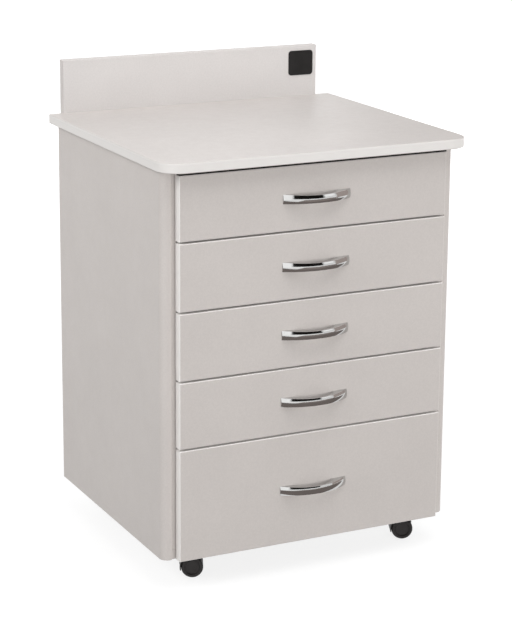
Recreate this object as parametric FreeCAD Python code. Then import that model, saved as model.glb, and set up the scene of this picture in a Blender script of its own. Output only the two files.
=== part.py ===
"""A mobile drawer cabinet for a surgery or a laboratory, as an assembly of its separate pieces.

A laminated carcass with a worktop and a rear upstand stands on four twin-wheel casters. Five
drawers run in it on telescopic slides and are pulled by bow handles.

Frame: +X to the right seen from the front, +Y to the back, +Z up. The origin lies on the floor,
below the centre of the bounding box. All lengths are in millimetres.
"""
import FreeCAD
import Part
import math
import os

from FreeCAD import Vector

# Worktop and upstand
worktop_width = 600.0
worktop_depth = 540.0
worktop_thickness = 18.0
worktop_corner_radius = 40.0
worktop_edge_rounding = 2.0
upstand_width = 540.0
upstand_thickness = 18.0
upstand_rise = 100.0
upstand_edge_rounding = 1.5
upstand_screw_inset = 60.0
upstand_screw_count = 4

# Carcass
carcass_width = 576.0
carcass_height = 702.0
carcass_front_setback = 42.0
carcass_rear_setback = 16.0
side_thickness = 18.0
side_front_rounding = 15.0
side_edge_rounding = 1.0
bottom_thickness = 18.0
inner_setback = 3.0
back_thickness = 4.0
rebate_width = 9.0
rail_width = 90.0
rail_thickness = 18.0
batten_thickness = 10.0
batten_width = 60.0

# Drawers, from the top one to the bottom one
small_drawer_count = 4
small_front_height = 120.0
front_side_gap = 8.0
front_thickness = 18.0
front_face_setback = 25.5
front_gap = 3.5
worktop_gap = 8.5
front_edge_rounding = 2.0
box_board = 16.0
box_depth = 450.0
box_top_drop = 24.5
small_box_height = 85.0
deep_box_height = 150.0
box_edge_rounding = 1.0
drawer_bottom_thickness = 3.2
groove_depth = 8.0
groove_height_above_edge = 10.0
front_screw_side_distance = 40.0
front_screw_edge_distance = 20.0

# Telescopic slides
slide_length = 450.0
slide_front_setback = 2.0
slide_height = 45.0
slide_thickness = 12.7
slide_height_above_box = 15.0
outer_gauge = 1.2
middle_gauge = 1.0
channel_fold_radius = 2.5
web_gap = 0.8
race_depth = 3.0
cage_width = 5.0
cage_length = 150.0
slide_clearance = 0.1

# Bow handles
handle_length = 132.0
handle_projection = 25.0
handle_end_thickness = 2.5
handle_strap = 4.0
handle_end_height = 17.0
handle_waist_height = 14.0
handle_crown = 2.0
handle_screw_spacing = 96.0
handle_grip_length = 80.0
handle_thread_depth = 8.0

# Casters
caster_height = 58.0
caster_side_inset = 70.0
caster_end_inset = 58.0
caster_rest_angle = -24.0
caster_trail = 12.0
wheel_diameter = 40.0
wheel_width = 15.0
wheel_rim = 3.0
wheel_web = 2.5
wheel_outer_rounding = 4.0
wheel_inner_rounding = 1.0
wheel_dish_depth = 2.0
wheel_dish_radius = 14.5
wheel_hub_radius = 5.5
axle_diameter = 5.0
hood_web = 5.0
hood_shell = 1.8
hood_edge_rounding = 0.8
hood_start_angle = 40.0
hood_end_angle = 195.0
hood_web_radius = 16.0
wheel_side_gap = 0.6
wheel_rim_gap = 0.8
swivel_boss_radius = 13.5
swivel_boss_taper = 2.5
kingpin_diameter = 8.0
kingpin_depth = 12.0
race_radius = 15.0
race_height = 3.0
plate_thickness = 2.5
plate_corner_radius = 4.0
plate_hole_spacing = 31.0
plate_hole_edge_distance = 5.5

# Fasteners
screw_diameter = 4.0
screw_head_diameter = 8.0
screw_head_height = 2.4
caster_screw_length = 16.0
worktop_screw_length = 30.0
batten_screw_length = 22.0
front_screw_length = 30.0
upstand_screw_diameter = 5.0
upstand_screw_length = 50.0
cam_diameter = 15.0
cam_height = 12.5
cam_distance = 34.0
cam_end_inset = 105.0
cam_bolt_diameter = 6.0
cam_bolt_embedment = 11.0
batten_screw_share = 0.2
rail_screw_share = 0.3

# Fits
running_clearance = 0.05
swivel_clearance = 0.3
bore_clearance = 0.1
panel_clearance = 0.3
overrun = 5.0
match_tolerance = 1e-6

# Levels and planes worked out from the sizes above
total_depth = worktop_depth + upstand_thickness
top_front_y = -total_depth / 2
top_back_y = top_front_y + worktop_depth
carcass_front_y = top_front_y + carcass_front_setback
carcass_back_y = top_back_y - carcass_rear_setback
back_panel_y = carcass_back_y - back_thickness
inner_front_y = carcass_front_y + inner_setback
front_face_y = top_front_y + front_face_setback
front_rear_y = front_face_y + front_thickness

carcass_bottom_z = caster_height
carcass_top_z = carcass_bottom_z + carcass_height
worktop_z = carcass_top_z + worktop_thickness
inner_bottom_z = carcass_bottom_z + bottom_thickness
inner_top_z = carcass_top_z - rail_thickness

inner_half_width = carcass_width / 2 - side_thickness
batten_face_x = inner_half_width - batten_thickness
box_half_width = batten_face_x - slide_thickness
front_half_width = inner_half_width - front_side_gap
slide_front_y = inner_front_y + slide_front_setback

drawer_count = small_drawer_count + 1
first_front_height = small_front_height + front_gap - worktop_gap
deep_front_height = carcass_height - small_drawer_count * small_front_height - drawer_count * front_gap

middle_height = slide_height - 2 * (outer_gauge + race_depth + 2 * slide_clearance)
inner_height = middle_height - 2 * (middle_gauge + race_depth + 2 * slide_clearance)
middle_web_u = outer_gauge + web_gap
channel_depth = slide_thickness - outer_gauge - 2 * web_gap
drawer_channel_depth = slide_thickness - middle_web_u - middle_gauge - web_gap

wheel_radius = wheel_diameter / 2
hood_inner_radius = wheel_radius + wheel_rim_gap
hood_outer_radius = hood_inner_radius + hood_shell
wheel_inner_y = hood_web / 2 + wheel_side_gap
wheel_outer_y = wheel_inner_y + wheel_width
caster_x = carcass_width / 2 - caster_side_inset
caster_front_y = carcass_front_y + caster_end_inset
caster_rear_y = carcass_back_y - caster_end_inset
plate_bottom_z = caster_height - plate_thickness
race_bottom_z = plate_bottom_z - race_height

unit_x = Vector(1, 0, 0)
unit_y = Vector(0, 1, 0)
unit_z = Vector(0, 0, 1)
origin = Vector(0, 0, 0)


def block(x0, x1, y0, y1, z0, z1):
    """A box between two corners."""
    return Part.makeBox(x1 - x0, y1 - y0, z1 - z0, Vector(x0, y0, z0))


def rod(radius, start, end):
    """A cylinder from one point to another."""
    way = end - start
    return Part.makeCylinder(radius, way.Length, start, way)


def moved(shape, x, y, z):
    """A copy of a shape, shifted."""
    copy = shape.copy()
    copy.translate(Vector(x, y, z))
    return copy


def mirrored_x(shape):
    """The mirror image of a shape across the middle plane of the cabinet."""
    return shape.mirror(origin, unit_x)


def both_sides(left_pieces):
    """Left-hand pieces with their mirror images."""
    return left_pieces + [mirrored_x(piece) for piece in left_pieces]


def edges_where(shape, test):
    """The edges of a shape whose two ends both pass a test."""
    return [edge for edge in shape.Edges if all(test(vertex.Point) for vertex in edge.Vertexes)]


def straight_edges_along(shape, direction, test):
    """The straight edges along one direction whose two ends both pass a test."""
    found = []
    for edge in edges_where(shape, test):
        ends = edge.Vertexes
        way = ends[-1].Point - ends[0].Point
        if edge.Curve.TypeId == "Part::GeomLine" and way.cross(direction).Length < match_tolerance:
            found.append(edge)
    return found


def near(value, level):
    """True where a coordinate lies on a level."""
    return abs(value - level) < match_tolerance


def wood_screw(length, diameter, head_point, direction):
    """A countersunk screw whose flat head lies at head_point and whose shank goes along direction."""
    head_radius = screw_head_diameter / 2 * diameter / screw_diameter
    head_height = screw_head_height * diameter / screw_diameter
    way = Vector(direction).normalize()
    head = Part.makeCone(head_radius, diameter / 2, head_height, head_point, way)
    shank = Part.makeCylinder(diameter / 2, length, head_point, way)
    return head.fuse(shank).removeSplitter()


def grown_screw(length, diameter, head_point, direction):
    """The hole that a countersunk screw lies in, a bore clearance wider and open at the head."""
    head_radius = screw_head_diameter / 2 * diameter / screw_diameter + bore_clearance
    head_height = screw_head_height * diameter / screw_diameter
    way = Vector(direction).normalize()
    head = Part.makeCone(head_radius, diameter / 2 + bore_clearance, head_height, head_point, way)
    mouth = Part.makeCylinder(head_radius, overrun, head_point - way * overrun, way)
    shank = Part.makeCylinder(diameter / 2 + bore_clearance, length + bore_clearance, head_point, way)
    return head.fuse([mouth, shank])


def screws_at(heads, direction, length, diameter):
    """One countersunk screw for each head."""
    return [wood_screw(length, diameter, head, direction) for head in heads]


def bores_at(heads, direction, length, diameter):
    """One countersunk hole for each head."""
    return [grown_screw(length, diameter, head, direction) for head in heads]


def spread(low, high, count):
    """Evenly spaced places from low to high."""
    return [low + (high - low) * index / (count - 1) for index in range(count)]


# Places of the fasteners

def worktop_screw_heads():
    """Where the screws under the rails start on their way up into the worktop."""
    reach = inner_half_width * 2 * rail_screw_share
    middles = (inner_front_y + rail_width / 2, back_panel_y - rail_width / 2)
    return [Vector(x, y, inner_top_z) for x in (-reach, reach) for y in middles]


def batten_screw_heads():
    """Where the screws start that hold the left battens on the left side."""
    low = inner_bottom_z + (inner_top_z - inner_bottom_z) * batten_screw_share
    high = inner_top_z - (inner_top_z - inner_bottom_z) * batten_screw_share
    middles = (inner_front_y + batten_width / 2, back_panel_y - batten_width / 2)
    return [Vector(-batten_face_x, y, z) for y in middles for z in (low, high)]


def caster_places():
    """The name and the place of each swivel axis."""
    return {
        "front_left": (-caster_x, caster_front_y),
        "front_right": (caster_x, caster_front_y),
        "rear_left": (-caster_x, caster_rear_y),
        "rear_right": (caster_x, caster_rear_y),
    }


def caster_screw_heads():
    """Where the screws start that go up through the caster plates."""
    hole = plate_hole_spacing / 2
    corners = [(side, end) for side in (-hole, hole) for end in (-hole, hole)]
    places = caster_places().values()
    return [Vector(x + side, y + end, plate_bottom_z) for x, y in places for side, end in corners]


def upstand_screw_heads():
    """Where the screws start that go through the upstand into the back of the worktop."""
    reach = upstand_width / 2 - upstand_screw_inset
    level = worktop_z - worktop_thickness / 2
    rear_y = top_back_y + upstand_thickness
    return [Vector(x, rear_y, level) for x in spread(-reach, reach, upstand_screw_count)]


def cam_places():
    """The left cams of the bottom and of the two rails, each with the level of its board."""
    x = -inner_half_width + cam_distance
    front_rail_y = inner_front_y + rail_width / 2
    rear_rail_y = back_panel_y - rail_width / 2
    return [
        (x, inner_front_y + cam_end_inset, carcass_bottom_z, bottom_thickness),
        (x, back_panel_y - cam_end_inset, carcass_bottom_z, bottom_thickness),
        (x, front_rail_y, inner_top_z, rail_thickness),
        (x, rear_rail_y, inner_top_z, rail_thickness),
    ]


def cam_bolt(place, clearance):
    """The bolt from the side panel to the middle of one left cam."""
    x, y, z, board = place
    level = z + board / 2
    start = Vector(-inner_half_width - cam_bolt_embedment - clearance, y, level)
    return rod(cam_bolt_diameter / 2 + clearance, start, Vector(x, y, level))


def cam_pocket(place):
    """The hole for one left cam, from the underside of its board, with the hole for its bolt."""
    x, y, z, board = place
    start = Vector(x, y, z - overrun)
    end = Vector(x, y, z + cam_height + bore_clearance)
    return rod(cam_diameter / 2 + bore_clearance, start, end).fuse(cam_bolt(place, bore_clearance))


# Carcass

def worktop():
    """The top board: round front corners, softened arrises, pilot holes for its screws."""
    half = worktop_width / 2
    board = block(-half, half, top_front_y, top_back_y, carcass_top_z, worktop_z)
    corners = straight_edges_along(board, unit_z, lambda p: near(p.y, top_front_y))
    board = board.makeFillet(worktop_corner_radius, corners)
    rims = edges_where(board, lambda p: near(p.z, worktop_z))
    rims += edges_where(board, lambda p: near(p.z, carcass_top_z))
    rims = [edge for edge in rims if not near(edge.CenterOfMass.y, top_back_y)]
    board = board.makeFillet(worktop_edge_rounding, rims)
    holes = bores_at(worktop_screw_heads(), unit_z, worktop_screw_length, screw_diameter)
    holes += bores_at(upstand_screw_heads(), -unit_y, upstand_screw_length, upstand_screw_diameter)
    return board.cut(holes)


def backsplash():
    """The upstand, which stands against the back edge of the worktop."""
    half = upstand_width / 2
    rear_y = top_back_y + upstand_thickness
    top_z = worktop_z + upstand_rise
    board = block(-half, half, top_back_y, rear_y, carcass_top_z, top_z)
    rims = edges_where(board, lambda p: near(p.z, top_z))
    rims += straight_edges_along(board, unit_z, lambda p: True)
    board = board.makeFillet(upstand_edge_rounding, rims)
    holes = bores_at(upstand_screw_heads(), -unit_y, upstand_screw_length, upstand_screw_diameter)
    return board.cut(holes)


def left_side_panel():
    """A side board: its outer front arris is well rounded and its back edge is rebated for the back."""
    outer = -carcass_width / 2
    inner = -inner_half_width
    board = block(outer, inner, carcass_front_y, carcass_back_y, carcass_bottom_z, carcass_top_z)
    arris = straight_edges_along(board, unit_z, lambda p: near(p.x, outer) and near(p.y, carcass_front_y))
    board = board.makeFillet(side_front_rounding, arris)
    others = straight_edges_along(board, unit_z, lambda p: near(p.x, outer) and near(p.y, carcass_back_y))
    others += straight_edges_along(board, unit_z, lambda p: near(p.x, inner) and near(p.y, carcass_front_y))
    board = board.makeFillet(side_edge_rounding, others)
    rebate = block(
        inner - rebate_width, inner + overrun,
        back_panel_y, carcass_back_y + overrun,
        carcass_bottom_z - overrun, carcass_top_z + overrun,
    )
    holes = [cam_bolt(place, bore_clearance) for place in cam_places()]
    holes += bores_at(batten_screw_heads(), -unit_x, batten_screw_length, screw_diameter)
    return board.cut([rebate] + holes)


def bottom_panel():
    """The board that closes the carcass below and carries the casters."""
    board = block(
        -inner_half_width, inner_half_width,
        inner_front_y, back_panel_y,
        carcass_bottom_z, inner_bottom_z,
    )
    front = straight_edges_along(board, unit_x, lambda p: near(p.y, inner_front_y))
    board = board.makeFillet(side_edge_rounding, front)
    cams = both_sides([cam_pocket(place) for place in cam_places()[:2]])
    holes = bores_at(caster_screw_heads(), unit_z, caster_screw_length, screw_diameter)
    return board.cut(cams + holes)


def back_panel():
    """The thin back, which lies in the rebates of the sides."""
    half = inner_half_width + rebate_width - panel_clearance
    return block(-half, half, back_panel_y, carcass_back_y, carcass_bottom_z, carcass_top_z)


def top_rails():
    """The front and the rear rail, which tie the sides and carry the worktop."""
    holes = bores_at(worktop_screw_heads(), unit_z, worktop_screw_length, screw_diameter)
    holes += both_sides([cam_pocket(place) for place in cam_places()[2:]])
    rails = []
    for y in (inner_front_y, back_panel_y - rail_width):
        rail = block(-inner_half_width, inner_half_width, y, y + rail_width, inner_top_z, carcass_top_z)
        rails.append(rail.cut(holes))
    return rails


def slide_battens():
    """The four upright battens that the cabinet channels of the slides are screwed to."""
    holes = bores_at(batten_screw_heads(), -unit_x, batten_screw_length, screw_diameter)
    battens = []
    for y in (inner_front_y, back_panel_y - batten_width):
        batten = block(-inner_half_width, -batten_face_x, y, y + batten_width, inner_bottom_z, inner_top_z)
        left = batten.cut(holes)
        battens += [left, mirrored_x(left)]
    return battens


def cam_fittings():
    """The cams of the bottom and the rails with their bolts, on both sides."""
    pieces = []
    for place in cam_places():
        x, y, z, board = place
        cam = rod(cam_diameter / 2, Vector(x, y, z), Vector(x, y, z + cam_height))
        pieces += [cam.cut(cam_bolt(place, bore_clearance)), cam_bolt(place, 0)]
    return both_sides(pieces)


def carcass_screws():
    """The screws of the worktop, the battens and the caster plates."""
    screws = screws_at(worktop_screw_heads(), unit_z, worktop_screw_length, screw_diameter)
    screws += screws_at(caster_screw_heads(), unit_z, caster_screw_length, screw_diameter)
    left_screws = screws_at(batten_screw_heads(), -unit_x, batten_screw_length, screw_diameter)
    return screws + both_sides(left_screws)


def backsplash_screws():
    """The screws through the upstand into the back edge of the worktop."""
    return screws_at(upstand_screw_heads(), -unit_y, upstand_screw_length, upstand_screw_diameter)


# Telescopic slides

def channel(height, web_x, lip_x, gauge, level):
    """A folded channel along Y: its web stands at web_x and its flanges reach to lip_x."""
    inward = math.copysign(1, lip_x - web_x)
    hollow_x = web_x + inward * gauge
    open_x = lip_x + inward * overrun
    low = level - height / 2
    high = level + height / 2
    rear_y = slide_front_y + slide_length

    outer = block(min(web_x, lip_x), max(web_x, lip_x), slide_front_y, rear_y, low, high)
    folds = straight_edges_along(outer, unit_y, lambda p: near(p.x, web_x))
    outer = outer.makeFillet(channel_fold_radius, folds)
    hollow = block(
        min(hollow_x, open_x), max(hollow_x, open_x),
        slide_front_y - overrun, rear_y + overrun,
        low + gauge, high - gauge,
    )
    folds = straight_edges_along(hollow, unit_y, lambda p: near(p.x, hollow_x))
    hollow = hollow.makeFillet(channel_fold_radius - gauge, folds)
    return outer.cut(hollow)


def cabinet_channel(level):
    """The outer channel of one left slide, open towards the drawer."""
    web = -batten_face_x
    return channel(slide_height, web, web + outer_gauge + web_gap + channel_depth, outer_gauge, level)


def middle_channel(level):
    """The middle channel of one left slide with the two pairs of ball cages that ride in it."""
    web = -batten_face_x + middle_web_u
    lip = web + channel_depth
    pieces = [channel(middle_height, web, lip, middle_gauge, level)]
    cage_x = lip - cage_width
    rear_y = slide_front_y + slide_length - cage_length
    outer_low = middle_height / 2 + slide_clearance
    inner_low = inner_height / 2 + slide_clearance
    for low, y in ((outer_low, rear_y), (inner_low, slide_front_y)):
        for z in (level + low, level - low - race_depth):
            pieces.append(block(cage_x, lip, y, y + cage_length, z, z + race_depth))
    return pieces


def drawer_channel(level):
    """The inner channel of one left slide, open towards the cabinet."""
    web = -box_half_width
    return channel(inner_height, web, web - drawer_channel_depth, outer_gauge, level)


# Drawers

def drawer_levels():
    """For each drawer from the top: the low and high edge of its front and of its box."""
    levels = []
    top = carcass_top_z
    like_fronts = small_drawer_count - 1
    heights = [first_front_height] + [small_front_height] * like_fronts + [deep_front_height]
    gaps = [worktop_gap] + [front_gap] * small_drawer_count
    box_heights = [small_box_height] * small_drawer_count + [deep_box_height]
    for height, gap, box_height in zip(heights, gaps, box_heights):
        front_top = top - gap
        box_top = front_top - box_top_drop
        levels.append((front_top - height, front_top, box_top - box_height, box_top))
        top = front_top - height
    return levels


def slide_level(levels):
    """The middle height of the slides of one drawer."""
    return levels[2] + slide_height_above_box + slide_height / 2


def handle_screw_heads(levels):
    """Where the screws of a handle start, on the inner face of the box front."""
    level = (levels[0] + levels[1]) / 2
    reach = handle_screw_spacing / 2
    return [Vector(x, front_rear_y + box_board, level) for x in (-reach, reach)]


def handle_screw_length():
    """From the inner face of the box front to the end of the thread in the handle."""
    return box_board + front_thickness + handle_thread_depth


def front_screw_heads(levels):
    """Where the screws start that hold the front on the box."""
    reach = box_half_width - box_board - front_screw_side_distance
    low = levels[2] + front_screw_edge_distance
    high = levels[3] - front_screw_edge_distance
    return [Vector(x, front_rear_y + box_board, z) for x in (-reach, reach) for z in (low, high)]


def screw_holes(levels):
    """The holes of both kinds of screw through the front and the box front."""
    length = handle_screw_length()
    holes = []
    for head in handle_screw_heads(levels):
        end = head - unit_y * (length + bore_clearance)
        holes.append(rod(screw_diameter / 2 + bore_clearance, head + unit_y * overrun, end))
    return holes + bores_at(front_screw_heads(levels), -unit_y, front_screw_length, screw_diameter)


def drawer_front(levels):
    """The laminated front with softened edges."""
    half = front_half_width
    board = block(-half, half, front_face_y, front_rear_y, levels[0], levels[1])
    rims = edges_where(board, lambda p: near(p.y, front_face_y))
    board = board.makeFillet(front_edge_rounding, rims)
    return board.cut(screw_holes(levels))


def drawer_bottom_box(levels, clearance):
    """The thin drawer bottom, or with a clearance the groove that it lies in."""
    x = box_half_width - box_board + groove_depth + clearance
    y0 = front_rear_y + box_board - groove_depth - clearance
    y1 = front_rear_y + box_depth - box_board + groove_depth + clearance
    z = levels[2] + groove_height_above_edge
    return block(-x, x, y0, y1, z - clearance, z + drawer_bottom_thickness + clearance)


def drawer_box(levels):
    """The two sides, the inner front and the back of a box, grooved for its bottom."""
    low, high = levels[2], levels[3]
    inner = box_half_width - box_board
    y0 = front_rear_y
    y1 = front_rear_y + box_depth
    side = block(-box_half_width, -inner, y0, y1, low, high)
    tops = straight_edges_along(side, unit_y, lambda p: near(p.z, high))
    side = side.makeFillet(box_edge_rounding, tops)
    inner_front = block(-inner, inner, y0, y0 + box_board, low, high).cut(screw_holes(levels))
    back = block(-inner, inner, y1 - box_board, y1, low, high)
    groove = drawer_bottom_box(levels, bore_clearance)
    return [board.cut(groove) for board in (side, mirrored_x(side), inner_front, back)]


def handle(levels):
    """A bow handle: a crowned strap on a wide arc, narrower at its middle, with solid feet."""
    level = (levels[0] + levels[1]) / 2
    half = handle_length / 2
    rise = handle_projection - handle_end_thickness
    bow_radius = (half * half + rise * rise) / (2 * rise)
    centre_y = front_face_y - handle_projection + bow_radius

    # The crowned section is turned about the upright axis of the bow
    edge = bow_radius - handle_crown
    reach = handle_end_height / 2
    section = Part.Wire([
        Part.makeLine(Vector(0, 0, -reach), Vector(0, -edge, -reach)),
        Part.Arc(Vector(0, -edge, -reach), Vector(0, -bow_radius, 0), Vector(0, -edge, reach)).toShape(),
        Part.makeLine(Vector(0, -edge, reach), Vector(0, 0, reach)),
        Part.makeLine(Vector(0, 0, reach), Vector(0, 0, -reach)),
    ])
    bow = moved(Part.Face(section).revolve(origin, unit_z, 360), 0, centre_y, level)

    # The waisted outline seen from the front, through the depth of the handle
    waist = handle_waist_height / 2
    y0 = front_face_y - handle_projection - overrun
    outline = Part.Wire([
        Part.Arc(Vector(-half, y0, reach), Vector(0, y0, waist), Vector(half, y0, reach)).toShape(),
        Part.makeLine(Vector(half, y0, reach), Vector(half, y0, -reach)),
        Part.Arc(Vector(half, y0, -reach), Vector(0, y0, -waist), Vector(-half, y0, -reach)).toShape(),
        Part.makeLine(Vector(-half, y0, -reach), Vector(-half, y0, reach)),
    ])
    waisted = moved(Part.Face(outline).extrude(unit_y * (front_face_y - y0)), 0, 0, level)

    # The finger gap is a flatter arc between the feet
    grip = handle_grip_length / 2
    gap_rise = handle_projection - handle_strap
    gap_radius = (grip * grip + gap_rise * gap_rise) / (2 * gap_rise)
    gap_centre = Vector(0, front_face_y - gap_rise + gap_radius, level - handle_end_height)
    gap = Part.makeCylinder(gap_radius, handle_end_height * 2, gap_centre, unit_z)
    return bow.common(waisted).cut([gap] + screw_holes(levels))


def drawer_screws(levels):
    """The two screws of the handle and the four of the front."""
    screws = []
    for head in handle_screw_heads(levels):
        cap_end = head + unit_y * screw_head_height
        cap = rod(screw_head_diameter / 2, head, cap_end)
        shank = rod(screw_diameter / 2, cap_end, head - unit_y * handle_screw_length())
        screws.append(cap.fuse(shank).removeSplitter())
    return screws + screws_at(front_screw_heads(levels), -unit_y, front_screw_length, screw_diameter)


# Casters, modelled with the swivel axis on Z and the axle trailing along +X

def caster_plate():
    """The square top plate with its pressed race and the riveted kingpin."""
    reach = plate_hole_spacing / 2 + plate_hole_edge_distance
    plate = block(-reach, reach, -reach, reach, plate_bottom_z, caster_height)
    plate = plate.makeFillet(plate_corner_radius, straight_edges_along(plate, unit_z, lambda p: True))
    race = rod(race_radius, Vector(0, 0, race_bottom_z), Vector(0, 0, plate_bottom_z))
    pin = rod(kingpin_diameter / 2, Vector(0, 0, race_bottom_z - kingpin_depth), Vector(0, 0, race_bottom_z))
    body = plate.fuse([race, pin]).removeSplitter()
    hole = plate_hole_spacing / 2
    heads = [Vector(x, y, plate_bottom_z) for x in (-hole, hole) for y in (-hole, hole)]
    return body.cut(bores_at(heads, unit_z, caster_screw_length, screw_diameter))


def hood_window():
    """The sector round the axle that the hood covers."""
    reach = hood_outer_radius * 2
    first = math.radians(hood_start_angle)
    middle = math.radians((hood_start_angle + hood_end_angle) / 2)
    last = math.radians(hood_end_angle)
    centre = Vector(caster_trail, -wheel_outer_y, wheel_radius)
    rays = [centre + Vector(math.cos(a), 0, math.sin(a)) * reach for a in (first, middle, last)]
    wedge = Part.Wire([
        Part.makeLine(centre, rays[0]),
        Part.Arc(rays[0], rays[1], rays[2]).toShape(),
        Part.makeLine(rays[2], centre),
    ])
    return Part.Face(wedge).extrude(unit_y * (2 * wheel_outer_y))


def caster_hood():
    """The moulded hood: a shell over both wheels, the web between them and the swivel boss."""
    axle = Vector(caster_trail, 0, wheel_radius)
    left = axle - unit_y * wheel_outer_y
    right = axle + unit_y * wheel_outer_y
    shell = rod(hood_outer_radius, left, right)
    shell = shell.common(hood_window())
    rims = [edge for edge in shell.Edges if edge.Curve.TypeId == "Part::GeomCircle"]
    shell = shell.makeFillet(hood_edge_rounding, rims)

    boss_top = race_bottom_z - swivel_clearance
    boss_height = boss_top - wheel_radius
    narrow = swivel_boss_radius - swivel_boss_taper
    boss = Part.makeCone(narrow, swivel_boss_radius, boss_height, Vector(0, 0, wheel_radius), unit_z)

    web_side = unit_y * (hood_web / 2)
    web = rod(hood_web_radius, axle - web_side, axle + web_side)
    hood = shell.fuse([boss, web])

    for y0, y1 in ((-wheel_outer_y - overrun, -hood_web / 2), (hood_web / 2, wheel_outer_y + overrun)):
        hood = hood.cut(rod(hood_inner_radius, axle + unit_y * y0, axle + unit_y * y1))
    pin_bore = rod(
        kingpin_diameter / 2 + running_clearance,
        Vector(0, 0, race_bottom_z - kingpin_depth - swivel_clearance),
        Vector(0, 0, race_bottom_z + overrun),
    )
    axle_bore = rod(axle_diameter / 2, axle - web_side * 2, axle + web_side * 2)
    return hood.cut([pin_bore, axle_bore]).removeSplitter()


def caster_axle():
    """The steel axle, held in the web of the hood."""
    end = wheel_outer_y - wheel_dish_depth - wheel_web - swivel_clearance
    return rod(
        axle_diameter / 2,
        Vector(caster_trail, -end, wheel_radius),
        Vector(caster_trail, end, wheel_radius),
    )


def quarter_round(start, corner, end, radius):
    """The arc that rounds the corner of a profile between two points of its sides."""
    to_centre = (start - corner) + (end - corner)
    centre = corner + to_centre
    middle = centre - to_centre.normalize() * radius
    return Part.Arc(start, middle, end).toShape()


def caster_wheel():
    """The wheel on the +Y side: a cup with a rounded tread, a hub and a dished outer face."""
    r = wheel_radius
    y0 = wheel_inner_y
    y1 = wheel_outer_y
    bore = axle_diameter / 2 + running_clearance
    dish = y1 - wheel_dish_depth
    web = dish - wheel_web
    outer_start = Vector(r - wheel_outer_rounding, y1, 0)
    outer_end = Vector(r, y1 - wheel_outer_rounding, 0)
    inner_start = Vector(r, y0 + wheel_inner_rounding, 0)
    inner_end = Vector(r - wheel_inner_rounding, y0, 0)
    face = [
        Vector(0, dish, 0),
        Vector(wheel_dish_radius - wheel_dish_depth, dish, 0),
        Vector(wheel_dish_radius, y1, 0),
        outer_start,
    ]
    inside = [
        inner_end,
        Vector(r - wheel_rim, y0, 0),
        Vector(r - wheel_rim, web, 0),
        Vector(wheel_hub_radius, web, 0),
        Vector(wheel_hub_radius, y0, 0),
        Vector(bore, y0, 0),
        Vector(bore, web, 0),
        Vector(0, web, 0),
        Vector(0, dish, 0),
    ]
    outline = Part.Wire(
        Part.makePolygon(face).Edges
        + [quarter_round(outer_start, Vector(r, y1, 0), outer_end, wheel_outer_rounding)]
        + [Part.makeLine(outer_end, inner_start)]
        + [quarter_round(inner_start, Vector(r, y0, 0), inner_end, wheel_inner_rounding)]
        + Part.makePolygon(inside).Edges
    )
    wheel = Part.Face(outline).revolve(origin, unit_y, 360)
    return moved(wheel, caster_trail, 0, wheel_radius)


def placed_caster(shape, place):
    """A caster piece turned to its rest angle and set under the cabinet."""
    piece = shape.copy()
    piece.rotate(origin, unit_z, caster_rest_angle)
    piece.translate(Vector(place[0], place[1], 0))
    return piece


# Every node and its solids

def carcass_nodes():
    """The pieces that stand still."""
    left_side = left_side_panel()
    channels = both_sides([cabinet_channel(slide_level(levels)) for levels in drawer_levels()])
    plates = [moved(caster_plate(), x, y, 0) for x, y in caster_places().values()]
    return {
        "worktop": [worktop()],
        "backsplash": [backsplash()],
        "left_side_panel": [left_side],
        "right_side_panel": [mirrored_x(left_side)],
        "bottom_panel": [bottom_panel()],
        "back_panel": [back_panel()],
        "top_rails": top_rails(),
        "slide_battens": slide_battens(),
        "cabinet_slide_channels": channels,
        "backsplash_screws": backsplash_screws(),
        "cam_fittings": cam_fittings(),
        "carcass_screws": carcass_screws(),
        "caster_plates": plates,
    }


def drawer_nodes():
    """The pieces of the five drawers and of their slides."""
    nodes = {}
    for number, levels in enumerate(drawer_levels(), start=1):
        drawer = f"drawer_{number}"
        nodes[f"{drawer}_front"] = [drawer_front(levels)]
        nodes[f"{drawer}_box"] = drawer_box(levels)
        nodes[f"{drawer}_bottom"] = [drawer_bottom_box(levels, 0)]
        nodes[f"{drawer}_handle"] = [handle(levels)]
        nodes[f"{drawer}_screws"] = drawer_screws(levels)
        nodes[f"{drawer}_slide_channels"] = both_sides([drawer_channel(slide_level(levels))])
        nodes[f"{drawer}_middle_channels"] = both_sides(middle_channel(slide_level(levels)))
    return nodes


def caster_nodes():
    """The hood with its axle and the two wheels of each caster."""
    hood = caster_hood()
    axle = caster_axle()
    wheel = caster_wheel()
    twin = wheel.mirror(origin, unit_y)
    nodes = {}
    for name, place in caster_places().items():
        nodes[f"{name}_caster_hood"] = [placed_caster(hood, place), placed_caster(axle, place)]
        nodes[f"{name}_caster_wheel_a"] = [placed_caster(wheel, place)]
        nodes[f"{name}_caster_wheel_b"] = [placed_caster(twin, place)]
    return nodes


def export(nodes):
    """One file per node; a node of several pieces is a compound of separate solids."""
    os.makedirs("parts", exist_ok=True)
    for name, solids in nodes.items():
        shape = solids[0] if len(solids) == 1 else Part.makeCompound(solids)
        shape.exportStep(f"parts/{name}.step")


export({**carcass_nodes(), **drawer_nodes(), **caster_nodes()})
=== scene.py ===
"""The looks of the mobile drawer cabinet: camera, light, finishes and the small pieces on it.

Everything is in metres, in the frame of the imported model: +X to the right seen from the front,
+Y to the back, +Z up, with the floor at z = 0.
"""
import math
import random

import bmesh
import bpy
from mathutils import Matrix, Quaternion, Vector


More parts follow.
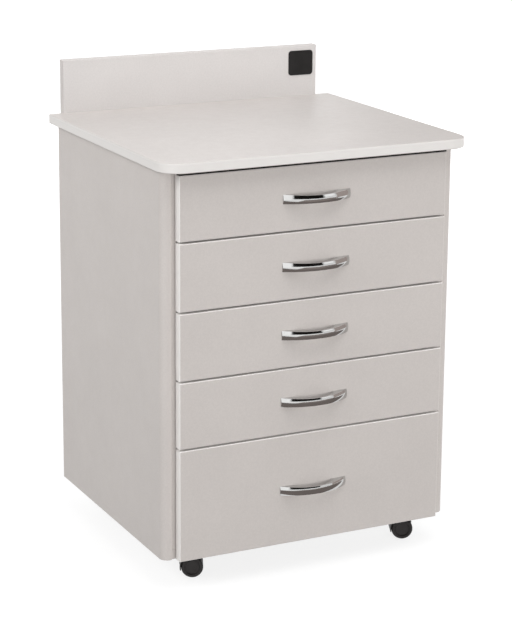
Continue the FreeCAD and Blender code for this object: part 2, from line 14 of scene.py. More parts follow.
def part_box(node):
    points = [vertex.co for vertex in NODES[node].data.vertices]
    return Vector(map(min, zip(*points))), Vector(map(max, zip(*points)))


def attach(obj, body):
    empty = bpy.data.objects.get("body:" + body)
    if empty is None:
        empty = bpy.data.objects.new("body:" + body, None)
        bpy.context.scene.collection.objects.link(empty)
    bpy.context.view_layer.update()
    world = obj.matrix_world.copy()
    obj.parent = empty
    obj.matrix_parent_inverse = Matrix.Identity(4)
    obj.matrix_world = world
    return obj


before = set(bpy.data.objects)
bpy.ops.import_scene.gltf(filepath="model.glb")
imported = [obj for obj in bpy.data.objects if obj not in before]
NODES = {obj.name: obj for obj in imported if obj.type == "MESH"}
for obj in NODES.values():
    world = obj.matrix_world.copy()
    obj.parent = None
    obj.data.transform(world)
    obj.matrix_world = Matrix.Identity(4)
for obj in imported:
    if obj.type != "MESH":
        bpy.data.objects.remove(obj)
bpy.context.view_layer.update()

MM = 0.001
DRAWERS = [f"drawer_{number}" for number in range(1, 6)]
RANDOM_SEED = 7

# Camera, from a fit of the cabinet's edges to the photograph; the angles are in degrees
IMAGE_WIDTH = 512
IMAGE_HEIGHT = 617
FOCAL_PIXELS = 2028.4
CENTRE_PIXEL = (236.4, 246.5)
CAMERA_PLACE = Vector((-1.6338, -3.2963, 1.4416))
CAMERA_YAW = -25.92
CAMERA_PITCH = -13.66
CAMERA_ROLL = 0.28
SENSOR = 36.0
CLIP_END = 100

# Colours, linear
WHITE = (1, 1, 1)
LAMINATE = (0.615, 0.574, 0.549)
WORKTOP_LAMINATE = (0.622, 0.584, 0.563)
# Painted light: the upstand's faces are a lightened copy of the laminate, so they read as bright as
# the worktop
UPSTAND_PAINTED_LIGHT_LAMINATE = (0.671, 0.644, 0.630)
WORKTOP_BAND = (0.785, 0.760, 0.737)
UPSTAND_BAND = (0.620, 0.585, 0.565)
# The fronts' edge bands: their own lighter colour, raised further with painted light that lifts the
# ends out of the side panels' shade
FRONT_BAND_AND_LIGHT = (0.885, 0.860, 0.838)
MELAMINE = (0.74, 0.73, 0.71)
HARDBOARD = (0.68, 0.66, 0.64)
ZINC = (0.60, 0.61, 0.62)
CAM_ZINC = (0.51, 0.5185, 0.527)
CHROME = (0.56, 0.56, 0.555)
# Painted shade inside the screws' cross recesses
DRIVE_SHADE = (0.045, 0.045, 0.047)
BLACK_PLASTIC = (0.0140, 0.0116, 0.0113)
DUST = (0.045, 0.042, 0.040)
# The black of the strip of painted shade in the gap under the worktop
GAP_SHADE_BLACK = (0.0125, 0.0090, 0.0080)
BADGE_DARK = (0.014, 0.0128, 0.0126)

# Textures. Noise seldom leaves its spread; the pairs are its features per metre and its detail,
# or else the lowest and the highest value of what it drives
NOISE_SPREAD = (0.3, 0.7)
LAMINATE_CLOUDS = (9, 4)
CLOUD_SHARE = 0.4
LAMINATE_FLECKS = (330, 2)
FLECK_SHARE = 0.6
LAMINATE_SHADES = (0.955, 1.045)
LAMINATE_SHEEN = (60, 3)
LAMINATE_ROUGHNESS = (0.40, 0.52)
LAMINATE_GLOSS = 0.35
PEARLS = (900, 2)
PEARL_DEPTH = 0.06 * MM
PEARL_STRENGTH = 0.5
METAL_PATCHES = (25, 3)
METAL_SHADES = (0.92, 1.06)
METAL_GRAIN = (300, 3)
METAL_ROUGHNESS_SHARES = (0.8, 1.25)
GRAIN_DEPTH = 0.03 * MM
GRAIN_STRENGTH = 0.4
PLASTIC_PATCHES = (45, 4)
PLASTIC_SHADES = (0.85, 1.3)
PLASTIC_SHEEN = (90, 3)
PLASTIC_ROUGHNESS_SHARES = (0.85, 1.2)
SPARK_DETAIL = 2
SPARK_DEPTH = 0.08 * MM
SPARK_STRENGTH = 0.5
DUST_PATCHES = (160, 4)
DUST_AMOUNTS = (0.1, 0.7)

# Edge bands: where one starts and where it is full, as the size of the normal's part along the
# board's own axis
ARRIS_BLEND = (0.90, 0.75)
WORKTOP_BLEND = (0.50, 0.35)
# The wheels' axle at rest, and where the dust on their treads starts and is full, as the size of
# the normal's part along the axle
WHEEL_AXLE = (0.407, 0.914, 0)
TREAD_BLEND = (0.5, 0.1)

# Laminates: colour and, where the edges differ, their colour, the board's own axis and the blend
LAMINATES = {
    "board_laminate": (LAMINATE,),
    "worktop_laminate": (WORKTOP_LAMINATE, WORKTOP_BAND, "Z", WORKTOP_BLEND),
    # painted light on the upstand's faces; its edges keep about the worktop's colour
    "upstand_painted_light_laminate": (UPSTAND_PAINTED_LIGHT_LAMINATE, UPSTAND_BAND, "Y", ARRIS_BLEND),
    "front_laminate": (LAMINATE, FRONT_BAND_AND_LIGHT, "Y", ARRIS_BLEND),
    "back_hardboard": (HARDBOARD,),
    "box_melamine": (MELAMINE,),
    "bottom_hardboard": (HARDBOARD,),
}
# Metals: colour, roughness and how much finer the grain is along x, y and z
METALS = {
    "slide_zinc": (ZINC, 0.33, (40, 1, 40)),
    "screw_zinc": (ZINC, 0.30, (1, 1, 1)),
    "cam_zinc": (CAM_ZINC, 0.42, (1, 1, 1)),
    "plate_zinc": (ZINC, 0.36, (1, 1, 1)),
    "handle_chrome": (CHROME, 0.09, (1, 1, 1)),
    "head_zinc": (ZINC, 0.30, (1, 1, 1)),
    "drive_shadow": (DRIVE_SHADE, 0.60, (1, 1, 1)),
}
# Plastics: colour, roughness, gloss and how many sparks of its texture lie along a metre
PLASTICS = {
    "hood_plastic": (BLACK_PLASTIC, 0.40, 0.40, 700),
    "wheel_plastic": (BLACK_PLASTIC, 0.50, 0.40, 700),
    "badge_dark": (BADGE_DARK, 0.35, 0.22, 1500),
    # The black strip of painted shade under the worktop
    "gap_shade_plastic": (GAP_SHADE_BLACK, 0.90, 0.10, 1200),
    "lever_plastic": (BLACK_PLASTIC, 0.40, 0.40, 700),
}

# Light
WORLD_LEVEL = 0.40
FLOOR_REACH = 20.0
FLOOR_LEVEL = 0.40
FLOOR_SHADOW_SHARE = 0.25
FLOOR_GLOW = 0.82
FLOOR_WHITE_FROM = 1.2
FLOOR_WHITE_AT = 3.5
# Lamps: place, aim, size and power; the last value says whether shiny surfaces show the lamp
LAMPS = {
    "front": ((0.1, -4.3, 0.82), (0, 0, 0.50), (3.6, 1.2), 75, False),
    "left": ((-3.3, 0.0, 2.45), (0, 0, 0.80), (3.0, 1.8), 67, False),
    "above": ((0.35, -1.0, 3.1), (0, 0, 0.78), (2.4, 2.4), 37, True),
    "right": ((3.3, 0.5, 0.65), (0, 0, 0.42), (2.0, 1.0), 27, False),
    "rear": ((1.8, 4.2, 0.90), (0, 0, 0.45), (3.4, 1.4), 95, False),
}
# Upright cards for the shiny surfaces: shade, distance from their centre, azimuths from the
# front and heights
CARD_CENTRE = Vector((0, -0.28, 0))
CARDS = {
    "reflector_left": (1.4, 2.6, (-66, -33), (0.03, 3.2)),
    "card_front": (0.01, 3.0, (-30, 30), (0.50, 2.75)),
    "reflector_right": (1.4, 2.8, (33, 54), (0.9, 2.6)),
    "card_right": (0.45, 2.6, (58, 100), (0.03, 3.0)),
    "card_rear": (0.05, 2.3, (110, 149), (0.5, 2.4)),
    "reflector_rear": (1.5, 2.3, (150, 170), (0.9, 2.6)),
}
# Lying cards: shade, spans along x and y, and height
LOW_CARDS = {
    "card_low_near": (0.20, (-1.2, 1.6), (-1.20, -0.33), 0.02),
    "card_low_far": (0.30, (-0.4, 2.6), (-3.10, -1.20), 0.02),
}
# The tint of the dim cards; those above the shade are plain
CARD_TINT = (1.12, 0.96, 0.90)
PLAIN_ABOVE_SHADE = 1.0

# Mesh code: steps of round forms, the least angle of a sharp edge in degrees, and the distance
# at which the corners of packed triangles count as one
CORNER_STEPS = 8
BEVEL_STEPS = 3
TURNED_STEPS = 24
SHARP_ANGLE = 40
WELD_DISTANCE = 0.001 * MM

# Badge
BADGE_WIDTH = 53.5 * MM
BADGE_HEIGHT = 49 * MM
BADGE_THICKNESS = 1.2 * MM
BADGE_CORNER = 6 * MM
BADGE_BEVEL = 0.4 * MM
BADGE_END_INSET = 8.5 * MM
BADGE_TOP_INSET = 10 * MM

# Painted shade: a black strip in the gap between the worktop and the first front stands for the
# gap's shade
SHADE_STRIP_SET_BACK = 0.5 * MM
SHADE_STRIP_DEPTH = 12 * MM
SHADE_STRIP_CORNER = 1.2 * MM
SHADE_STRIP_CORNER_STEPS = 4
SHADE_STRIP_CLEARANCE = 0.3 * MM

# Screws. A screw lies along an axis if its box is longer there by this factor
LONG_SCREW = 1.3
# The recesses are thin flat plates of painted shade
# Cross recesses, in shares of the head's radius and of the recess's reach
DRIVE_REACH_SHARE = 0.52
DRIVE_ARM_SHARE = 0.26
DRIVE_RISE = 0.03 * MM
# The raised heads of the scene: radius and rise, and the shares of both along their profile
BACK_SCREW_HEAD = (3.4 * MM, 1.4 * MM)
BOX_SCREW_HEAD = (3.6 * MM, 0.4 * MM)
SLIDE_SCREW_HEAD = (3.2 * MM, 1.5 * MM)
HEAD_PROFILE = ((1, 0), (1, 0.35), (0.86, 0.75), (0.6, 1))
# Their places
BACK_SCREW_INSET = 4.4 * MM
BACK_SCREW_END_INSET = 2 * BACK_SCREW_INSET
BACK_SCREWS_UPRIGHT = 6
BACK_SCREWS_LEVEL = 3
BOX_SCREW_INSET = 8 * MM
BOX_BOARD = 12 * MM
DEEP_BOX_HEIGHT = 120 * MM
SLIDE_GAUGE = 1.2 * MM
SLIDE_SCREW_PLACES = (0.06, 0.60, 0.92)

# Release levers in the slides of the drawers
LEVER_PLACE = 0.30
LEVER_LENGTH = 62 * MM
LEVER_WIDTH = 8 * MM
LEVER_CORNER = 3.6 * MM
LEVER_THICKNESS = 1.8 * MM
LEVER_BEVEL = 0.4 * MM
LEVER_TAB_SHIFT = -24.8 * MM
LEVER_TAB = (4.5 * MM, 4.5 * MM)
LEVER_TAB_PROFILE = ((1, 0), (1, 0.8), (0.8, 1))


# Node trees

def add(tree, kind, settings=None, **inputs):
    """A shader node with its settings; an input is a number, a colour or another node's socket."""
    node = tree.nodes.new("ShaderNode" + kind)
    for name, value in (settings or {}).items():
        setattr(node, name, value)
    for name, value in inputs.items():
        key = int(name[1:]) if name[1:].isdigit() else name.replace("_", " ")
        feed(tree, node.inputs[key], value)
    return node


def feed(tree, socket, value):
    """Gives a socket a value, or a link from another node's socket."""
    if isinstance(value, bpy.types.NodeSocket):
        tree.links.new(value, socket)
    else:
        socket.default_value = value


def rgba(colour):
    """A colour with full alpha."""
    return (*colour, 1.0)


def scaled(values, factor):
    """A colour or a range, times a factor."""
    return tuple(value * factor for value in values)


def empty_tree(owner):
    """The cleared node tree of a new material or world."""
    owner.use_nodes = True
    owner.node_tree.nodes.clear()
    return owner.node_tree


def new_material(name):
    """A material with its tree and its principled shader."""
    material = bpy.data.materials.new(name)
    tree = empty_tree(material)
    shader = add(tree, "BsdfPrincipled")
    add(tree, "OutputMaterial", i0=shader.outputs[0])
    return material, tree, shader


def calculated(tree, operation, *values):
    """The result of a calculation with one or two values."""
    inputs = {f"i{index}": value for index, value in enumerate(values)}
    return add(tree, "Math", {"operation": operation}, **inputs).outputs[0]


def mapped(tree, value, source, target=(0.0, 1.0)):
    """A value, carried over from one range to another and kept inside it."""
    return add(
        tree, "MapRange", Value=value,
        From_Min=source[0], From_Max=source[1], To_Min=target[0], To_Max=target[1],
    ).outputs[0]


def mixed(tree, factor, first, second):
    """Two colours, each of them plain or from a socket, mixed by a factor."""
    pair = (first, second)
    first, second = (rgba(each) if isinstance(each, tuple) else each for each in pair)
    return add(tree, "Mix", {"data_type": "RGBA"}, i0=factor, i6=first, i7=second).outputs[2]


def shaded(tree, factor, colour, shades):
    """A colour between its darker and its lighter shade."""
    return mixed(tree, factor, *(scaled(colour, shade) for shade in shades))


def noise(tree, features, detail, stretch=(1, 1, 1)):
    """Noise in the piece's own coordinates, with its features per metre."""
    coordinates = add(tree, "TexCoord").outputs["Object"]
    mapping = add(tree, "Mapping", Vector=coordinates, Scale=stretch)
    place = mapping.outputs[0]
    return add(tree, "TexNoise", Vector=place, Scale=features, Detail=detail).outputs[0]


def patchy(tree, grain, target=(0, 1)):
    """A value that wanders over the piece inside a range."""
    return mapped(tree, noise(tree, *grain), NOISE_SPREAD, target)


def bumped(tree, shader, height, depth, strength):
    """Bump on a shader from a height, with its full depth in metres."""
    bump = add(tree, "Bump", Height=height, Distance=depth, Strength=strength)
    feed(tree, shader.inputs["Normal"], bump.outputs[0])


def laminate(name):
    """Laminated board: pearl texture, faint mottling and, on some boards, banded edges."""
    colour, *band = LAMINATES[name]
    material, tree, shader = new_material(name)
    clouds = patchy(tree, LAMINATE_CLOUDS, (0, CLOUD_SHARE))
    flecks = patchy(tree, LAMINATE_FLECKS, (0, FLECK_SHARE))
    mottle = calculated(tree, "ADD", clouds, flecks)
    surface = shaded(tree, mottle, colour, LAMINATE_SHADES)
    if band:
        band_colour, axis, blend = band
        normal = add(tree, "TexCoord").outputs["Normal"]
        along = add(tree, "SeparateXYZ", Vector=normal).outputs[axis]
        edge = mapped(tree, calculated(tree, "ABSOLUTE", along), blend)
        surface = mixed(tree, edge, surface, band_colour)
    feed(tree, shader.inputs["Base Color"], surface)
    feed(tree, shader.inputs["Roughness"], patchy(tree, LAMINATE_SHEEN, LAMINATE_ROUGHNESS))
    feed(tree, shader.inputs["Specular IOR Level"], LAMINATE_GLOSS)
    bumped(tree, shader, noise(tree, *PEARLS), PEARL_DEPTH, PEARL_STRENGTH)
    return material


def metal(name):
    """Metal with patches of shade and with fine grain."""
    colour, roughness, stretch = METALS[name]
    material, tree, shader = new_material(name)
    surface = shaded(tree, patchy(tree, METAL_PATCHES), colour, METAL_SHADES)
    feed(tree, shader.inputs["Base Color"], surface)
    grain = noise(tree, *METAL_GRAIN, stretch)
    sheen = mapped(tree, grain, NOISE_SPREAD, scaled(METAL_ROUGHNESS_SHARES, roughness))
    feed(tree, shader.inputs["Roughness"], sheen)
    feed(tree, shader.inputs["Metallic"], 1.0)
    bumped(tree, shader, grain, GRAIN_DEPTH, GRAIN_STRENGTH)
    return material


def plastic(name, axle=None):
    """Moulded plastic with a fine spark texture; faces that look off the axle carry some dust."""
    colour, roughness, gloss, sparks = PLASTICS[name]
    material, tree, shader = new_material(name)
    surface = shaded(tree, patchy(tree, PLASTIC_PATCHES), colour, PLASTIC_SHADES)
    if axle:
        normal = add(tree, "TexCoord").outputs["Normal"]
        product = add(tree, "VectorMath", {"operation": "DOT_PRODUCT"}, i0=normal, i1=axle)
        along = calculated(tree, "ABSOLUTE", product.outputs["Value"])
        tread = mapped(tree, along, TREAD_BLEND)
        dusty = calculated(tree, "MULTIPLY", tread, patchy(tree, DUST_PATCHES, DUST_AMOUNTS))
        surface = mixed(tree, dusty, surface, DUST)
    feed(tree, shader.inputs["Base Color"], surface)
    sheen = patchy(tree, PLASTIC_SHEEN, scaled(PLASTIC_ROUGHNESS_SHARES, roughness))
    feed(tree, shader.inputs["Roughness"], sheen)
    feed(tree, shader.inputs["Specular IOR Level"], gloss)
    bumped(tree, shader, noise(tree, sparks, SPARK_DETAIL), SPARK_DEPTH, SPARK_STRENGTH)
    return material


# Stage

def placed(name, data):
    """A new object, linked to the scene."""
    made = bpy.data.objects.new(name, data)
    bpy.context.scene.collection.objects.link(made)
    return made


def sheet(name, corners, material):
    """A flat sheet between four corners, with its material."""
    mesh = bpy.data.meshes.new(name)
    mesh.from_pydata(corners, [], [(0, 1, 2, 3)])
    mesh.materials.append(material)
    return placed(name, mesh)


def lying(x_span, y_span, height):
    """Corners of a lying sheet."""
    (left, right), (near, far) = x_span, y_span
    return [(x, y, height) for x, y in ((left, near), (right, near), (right, far), (left, far))]


def upright(distance, azimuths, heights):
    """Corners of an upright card between two azimuths from the front and two heights."""
    (left, right), (low, high) = azimuths, heights
    corners = []
    for azimuth, height in ((left, low), (right, low), (right, high), (left, high)):
        angle = math.radians(azimuth)
        place = Vector((distance * math.sin(angle), -distance * math.cos(angle), height))
        corners.append(CARD_CENTRE + place)
    return corners


def set_camera():
    """The camera at the photograph's place, with its lens and the shift of its frame."""
    data = bpy.data.cameras.new("camera")
    camera = placed("camera", data)
    yaw = math.radians(CAMERA_YAW)
    pitch = math.radians(CAMERA_PITCH)
    roll = math.radians(CAMERA_ROLL)
    level = math.cos(pitch)
    ahead = Vector((-math.sin(yaw) * level, math.cos(yaw) * level, math.sin(pitch)))
    level_right = Vector((ahead.y, -ahead.x, 0)).normalized()
    level_up = level_right.cross(ahead)
    right = level_right * math.cos(roll) + level_up * math.sin(roll)
    up = level_up * math.cos(roll) - level_right * math.sin(roll)
    turn = Matrix((right, up, -ahead)).transposed().to_4x4()
    camera.matrix_world = Matrix.Translation(CAMERA_PLACE) @ turn
    long_side = max(IMAGE_WIDTH, IMAGE_HEIGHT)
    data.sensor_width = SENSOR
    data.lens = FOCAL_PIXELS * SENSOR / long_side
    data.shift_x = (IMAGE_WIDTH / 2 - CENTRE_PIXEL[0]) / long_side
    data.shift_y = (CENTRE_PIXEL[1] - IMAGE_HEIGHT / 2) / long_side
    data.clip_end = CLIP_END
    bpy.context.scene.camera = camera


def seen(tree):
    """1 for rays that show the background: from the camera, in metal and through glass."""
    path = add(tree, "LightPath").outputs
    direct = calculated(tree, "MAXIMUM", path["Is Camera Ray"], path["Is Glossy Ray"])
    return calculated(tree, "MAXIMUM", direct, path["Is Transmission Ray"])


def make_world():
    """A white backdrop with an even, weaker light."""
    world = bpy.data.worlds.new("studio")
    bpy.context.scene.world = world
    tree = empty_tree(world)
    strength = mapped(tree, seen(tree), (0, 1), (WORLD_LEVEL, 1.0))
    light = add(tree, "Background", Color=rgba(WHITE), Strength=strength)
    add(tree, "OutputWorld", i0=light.outputs[0])


def make_floor():
    """A pale floor that goes to white and keeps a faint shadow."""
    material = bpy.data.materials.new("pale_floor")
    tree = empty_tree(material)
    place = add(tree, "TexCoord").outputs["Object"]
    away = add(tree, "VectorMath", {"operation": "LENGTH"}, i0=place).outputs["Value"]
    strength = mapped(tree, away, (FLOOR_WHITE_FROM, FLOOR_WHITE_AT), (FLOOR_GLOW, 1.0))
    plain = add(tree, "BsdfDiffuse", Color=rgba(scaled(WHITE, FLOOR_LEVEL)))
    faint = add(tree, "BsdfDiffuse", Color=rgba(scaled(WHITE, FLOOR_SHADOW_SHARE)))
    glow = add(tree, "Emission", Color=rgba(WHITE), Strength=strength)
    bright = add(tree, "AddShader", i0=faint.outputs[0], i1=glow.outputs[0])
    both = add(tree, "MixShader", i0=seen(tree), i1=plain.outputs[0], i2=bright.outputs[0])
    add(tree, "OutputMaterial", i0=both.outputs[0])
    span = (-FLOOR_REACH, FLOOR_REACH)
    floor = sheet("floor", lying(span, span, 0), material)


def make_card(name, shade, corners):
    """A bright or dim card of the studio, which only shows in shiny surfaces."""
    material = bpy.data.materials.new(name)
    tree = empty_tree(material)
    tint = WHITE if shade > PLAIN_ABOVE_SHADE else CARD_TINT
    glow = add(tree, "Emission", Color=rgba(scaled(tint, shade)), Strength=1.0)
    add(tree, "OutputMaterial", i0=glow.outputs[0])
    card = sheet(name, corners, material)
    card.visible_camera = False
    card.visible_diffuse = False
    card.visible_transmission = False
    card.visible_shadow = False


def make_lamp(name, place, aim, size, power, shown):
    """A rectangular soft lamp that looks at a point."""
    data = bpy.data.lights.new(name, "AREA")
    data.shape = "RECTANGLE"
    data.size, data.size_y = size
    data.energy = power
    lamp = placed(name, data)
    lamp.visible_glossy = shown
    lamp.location = place
    lamp.rotation_mode = "QUATERNION"
    lamp.rotation_quaternion = (Vector(aim) - Vector(place)).to_track_quat("-Z", "Y")


# Mesh code

def facing(centre, outward, turn=0.0):
    """The place of a flat piece: its own z looks outward, and it is turned about that direction."""
    rotation = outward.to_track_quat("Z", "Y") @ Quaternion((0, 0, 1), turn)
    return Matrix.Translation(centre) @ rotation.to_matrix().to_4x4()


def rounded_outline(width, height, corner, steps=CORNER_STEPS):
    """Points around a rectangle with round corners, about its middle."""
    points = []
    for quarter, (side, rise) in enumerate(((1, 1), (-1, 1), (-1, -1), (1, -1))):
        middle = Vector((side * (width / 2 - corner), rise * (height / 2 - corner)))
        for step in range(steps + 1):
            angle = math.radians(90 * (quarter + step / steps))
            points.append(middle + corner * Vector((math.cos(angle), math.sin(angle))))
    return points


def cross_outline(radius):
    """Points around the cross recess of a screw head of this radius, about its middle."""
    reach = radius * DRIVE_REACH_SHARE
    half = reach * DRIVE_ARM_SHARE
    arm = [Vector((reach, -half)), Vector((reach, half)), Vector((half, half))]
    turns = [Matrix.Rotation(math.radians(90 * quarter), 2) for quarter in range(4)]
    return [turn @ point for turn in turns for point in arm]


def add_wall(shape, low, high):
    """Faces between two rings of points, one above the other."""
    for index in range(len(low)):
        after = (index + 1) % len(low)
        shape.faces.new((low[index], low[after], high[after], high[index]))


def add_plate(shape, place, outline, thickness, bevel=0.0):
    """A plate of the given outline, from its place outwards, with a bevelled face."""
    rear = [shape.verts.new(place @ Vector((*point, 0))) for point in outline]
    face = [shape.verts.new(place @ Vector((*point, thickness))) for point in outline]
    shape.faces.new(rear[::-1])
    front = shape.faces.new(face)
    add_wall(shape, rear, face)
    if bevel:
        edges = list(front.edges)
        bmesh.ops.bevel(shape, geom=edges, offset=bevel, segments=BEVEL_STEPS, affect="EDGES")


def add_turned(shape, place, radius, rise, profile):
    """A turned form, closed by flat ends; its profile is in shares of the radius and the rise."""
    angles = [math.tau * step / TURNED_STEPS for step in range(TURNED_STEPS)]
    rings = []
    for radius_share, rise_share in profile:
        wide, height = radius * radius_share, rise * rise_share
        spots = [Vector((wide * math.cos(a), wide * math.sin(a), height)) for a in angles]
        rings.append([shape.verts.new(place @ spot) for spot in spots])
    shape.faces.new(rings[0][::-1])
    shape.faces.new(rings[-1])
    for low, high in zip(rings, rings[1:]):
        add_wall(shape, low, high)


def finished(name, shape, material, body):
    """Makes the piece of a shape: smooth apart from its sharp edges, and riding on its body."""
    mesh = bpy.data.meshes.new(name)
    shape.to_mesh(mesh)
    shape.free()
    mesh.shade_smooth()
    mesh.set_sharp_from_angle(angle=math.radians(SHARP_ANGLE))
    mesh.materials.append(material)
    piece = placed(name, mesh)
    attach(piece, body)


def solids(node_name):
    """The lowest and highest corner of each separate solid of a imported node."""
    shape = bmesh.new()
    shape.from_mesh(NODES[node_name].data)
    bmesh.ops.remove_doubles(shape, verts=shape.verts, dist=WELD_DISTANCE)
    left = set(shape.verts)
    boxes = []
    while left:
        front = [left.pop()]
        places = []
        while front:
            vertex = front.pop()
            places.append(vertex.co.copy())
            near = {edge.other_vert(vertex) for edge in vertex.link_edges} & left
            left -= near
            front.extend(near)
        boxes.append((Vector(map(min, zip(*places))), Vector(map(max, zip(*places)))))
    shape.free()
    return sorted(boxes, key=lambda box: tuple(box[0]))


# Pieces of the scene

def make_badge():
    """The bare dark plate on the right end of the upstand."""
    low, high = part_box("backsplash")
    centre = Vector((
        high.x - BADGE_END_INSET - BADGE_WIDTH / 2,
        low.y,
        high.z - BADGE_TOP_INSET - BADGE_HEIGHT / 2,
    ))
    shape = bmesh.new()
    outline = rounded_outline(BADGE_WIDTH, BADGE_HEIGHT, BADGE_CORNER)
    add_plate(shape, facing(centre, Vector((0, -1, 0))), outline, BADGE_THICKNESS, BADGE_BEVEL)
    finished("badge", shape, plastic("badge_dark"), "cabinet")


def make_shade_strip():
    """A black strip of painted shade in the gap between the worktop and the first front."""
    low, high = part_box("drawer_1_front")
    foot = high.z + SHADE_STRIP_CLEARANCE
    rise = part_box("worktop")[0].z - foot
    centre = Vector((low.x, low.y + SHADE_STRIP_SET_BACK + SHADE_STRIP_DEPTH / 2, foot + rise / 2))
    outline = rounded_outline(SHADE_STRIP_DEPTH, rise, SHADE_STRIP_CORNER, SHADE_STRIP_CORNER_STEPS)
    shape = bmesh.new()
    add_plate(shape, facing(centre, Vector((1, 0, 0))), outline, high.x - low.x)
    finished("worktop_shade_strip", shape, plastic("gap_shade_plastic"), "cabinet")


def head_of(low, high):
    """The middle of a screw's head, the way it looks and its radius, from the screw's box.

    Screws along y have their heads at the back, those along x inside, and the rest look down.
    """
    size = high - low
    middle = (low + high) / 2
    if size.y > LONG_SCREW * size.z:
        return Vector((middle.x, high.y, middle.z)), Vector((0, 1, 0)), size.x / 2
    if size.x > LONG_SCREW * size.y:
        inward = -math.copysign(1, middle.x)
        face = middle.x + inward * size.x / 2
        return Vector((face, middle.y, middle.z)), Vector((inward, 0, 0)), size.y / 2
    return Vector((middle.x, middle.y, low.z)), Vector((0, 0, -1)), size.x / 2


def cams():
    """The boxes of the cams, without those of their bolts, which lie along x inside the boards."""
    boxes = solids("cam_fittings")
    return [box for box in boxes if (box[1] - box[0]).x < LONG_SCREW * (box[1] - box[0]).y]


def make_drives(node_name, body, screws, chance, material):
    """Cross recesses of painted shade in a node's screw heads, each turned as it happens to sit."""
    shape = bmesh.new()
    for low, high in screws:
        centre, outward, radius = head_of(low, high)
        place = facing(centre, outward, chance.uniform(0, math.pi / 2))
        add_plate(shape, place, cross_outline(radius), DRIVE_RISE)
    finished(node_name + "_drives", shape, material, body)


def make_screws(name, body, places, head, chance, finishes):
    """Raised screw heads with their cross recesses at the places, each with the way it looks."""
    # The cross recesses are thin plates of painted shade on the heads
    radius, rise = head
    heads = bmesh.new()
    drives = bmesh.new()
    for centre, outward in places:
        place = facing(centre, outward, chance.uniform(0, math.pi / 2))
        add_turned(heads, place, radius, rise, HEAD_PROFILE)
        top = place @ Matrix.Translation((0, 0, rise))
        add_plate(drives, top, cross_outline(radius), DRIVE_RISE)
    finished(name, heads, finishes[0], body)
    finished(name + "_drives", drives, finishes[1], body)


def spread(low, high, count):
    """Evenly spaced values from the lowest to the highest."""
    return [low + (high - low) * step / (count - 1) for step in range(count)]


def back_screw_places():
    """Where the back panel is screwed to the sides, the bottom and the rear rail."""
    low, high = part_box("back_panel")
    rear = Vector((0, 1, 0))
    sides = (low.x + BACK_SCREW_INSET, high.x - BACK_SCREW_INSET)
    levels = (low.z + BACK_SCREW_END_INSET, high.z - BACK_SCREW_END_INSET)
    places = [(x, z) for x in sides for z in spread(*levels, BACK_SCREWS_UPRIGHT)]
    places += [(x, z) for x in spread(*sides, BACK_SCREWS_LEVEL + 2)[1:-1] for z in levels]
    return [(Vector((x, high.y, z)), rear) for x, z in places]


def box_screw_places(drawer):
    """Where the sides of a drawer box are screwed to its front and back."""
    low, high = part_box(drawer + "_box")
    levels = [low.z + BOX_SCREW_INSET, high.z - BOX_SCREW_INSET]
    if high.z - low.z > DEEP_BOX_HEIGHT:
        levels.append(sum(levels) / 2)
    places = []
    for x, outward in ((low.x, Vector((-1, 0, 0))), (high.x, Vector((1, 0, 0)))):
        for y in (low.y + BOX_BOARD / 2, high.y - BOX_BOARD / 2):
            places += [(Vector((x, y, z)), outward) for z in levels]
    return places


def slide_places(drawer, shares):
    """Points on the webs of the drawer channels, at shares of their length, with their outward."""
    low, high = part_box(drawer + "_slide_channels")
    box_low, box_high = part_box(drawer + "_box")
    level = (low.z + high.z) / 2
    places = []
    for x, side in ((box_low.x, -1), (box_high.x, 1)):
        start = Vector((x + side * SLIDE_GAUGE, low.y, level))
        for share in shares:
            along = Vector((0, (high.y - low.y) * share, 0))
            places.append((start + along, Vector((side, 0, 0))))
    return places


def make_levers(drawer, material):
    """The black release levers in the drawer channels: a strip with a round thumb tab."""
    shape = bmesh.new()
    outline = rounded_outline(LEVER_LENGTH, LEVER_WIDTH, LEVER_CORNER)
    for middle, outward in slide_places(drawer, (LEVER_PLACE,)):
        add_plate(shape, facing(middle, outward), outline, LEVER_THICKNESS, LEVER_BEVEL)
        tab = facing(middle + Vector((0, LEVER_TAB_SHIFT, 0)), outward)
        add_turned(shape, tab, *LEVER_TAB, LEVER_TAB_PROFILE)
    finished(drawer + "_slide_levers", shape, material, drawer)


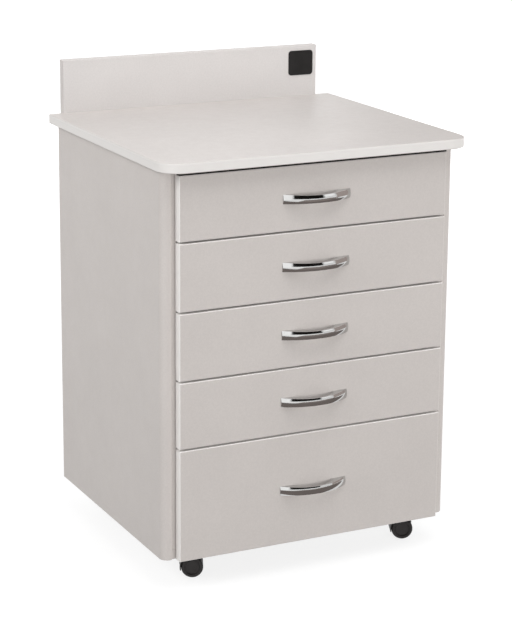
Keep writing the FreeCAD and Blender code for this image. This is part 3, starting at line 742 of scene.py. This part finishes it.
def make_fittings():
    """Every small fastener of the scene and the levers of the slides."""
    chance = random.Random(RANDOM_SEED)
    # The dark of the cross recesses is painted shade
    drive = metal("drive_shadow")
    finishes = (metal("head_zinc"), drive)
    lever = plastic("lever_plastic")

    def screws(name, body, places, head):
        make_screws(name, body, places, head, chance, finishes)

    for node_name in ("backsplash_screws", "carcass_screws"):
        make_drives(node_name, "cabinet", solids(node_name), chance, drive)
    make_drives("cam_fittings", "cabinet", cams(), chance, drive)
    screws("back_screws", "cabinet", back_screw_places(), BACK_SCREW_HEAD)
    for drawer in DRAWERS:
        node_name = drawer + "_screws"
        make_drives(node_name, drawer, solids(node_name), chance, drive)
        screws(drawer + "_box_screws", drawer, box_screw_places(drawer), BOX_SCREW_HEAD)
        places = slide_places(drawer, SLIDE_SCREW_PLACES)
        screws(drawer + "_slide_screws", drawer, places, SLIDE_SCREW_HEAD)
        make_levers(drawer, lever)


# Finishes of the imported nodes

def dress_nodes():
    """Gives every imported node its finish.

    The longest key found in a node's name counts; one that starts with an underscore has to be
    at its end.
    """
    board = laminate("board_laminate")
    finishes = {
        "worktop": laminate("worktop_laminate"),
        "backsplash": laminate("upstand_painted_light_laminate"),
        "side_panel": board,
        "bottom_panel": board,
        "back_panel": laminate("back_hardboard"),
        "top_rails": board,
        "slide_battens": board,
        "_channels": metal("slide_zinc"),
        "screws": metal("screw_zinc"),
        "cam_fittings": metal("cam_zinc"),
        "caster_plates": metal("plate_zinc"),
        "_front": laminate("front_laminate"),
        "_box": laminate("box_melamine"),
        "_bottom": laminate("bottom_hardboard"),
        "_handle": metal("handle_chrome"),
        "caster_hood": plastic("hood_plastic"),
        "caster_wheel": plastic("wheel_plastic", WHEEL_AXLE),
    }
    for name, node in NODES.items():
        fitting = [key for key in finishes if key in name and (key[0] != "_" or name.endswith(key))]
        key = max(fitting, key=len)
        for slot in node.material_slots:
            slot.material = finishes[key]


bpy.context.scene.view_settings.view_transform = "Standard"
set_camera()
make_world()
make_floor()
for card_name, (card_shade, *card_place) in CARDS.items():
    make_card(card_name, card_shade, upright(*card_place))
for card_name, (card_shade, *card_place) in LOW_CARDS.items():
    make_card(card_name, card_shade, lying(*card_place))
for lamp_name, lamp_values in LAMPS.items():
    make_lamp(lamp_name, *lamp_values)
dress_nodes()
make_badge()
make_shade_strip()
make_fittings()
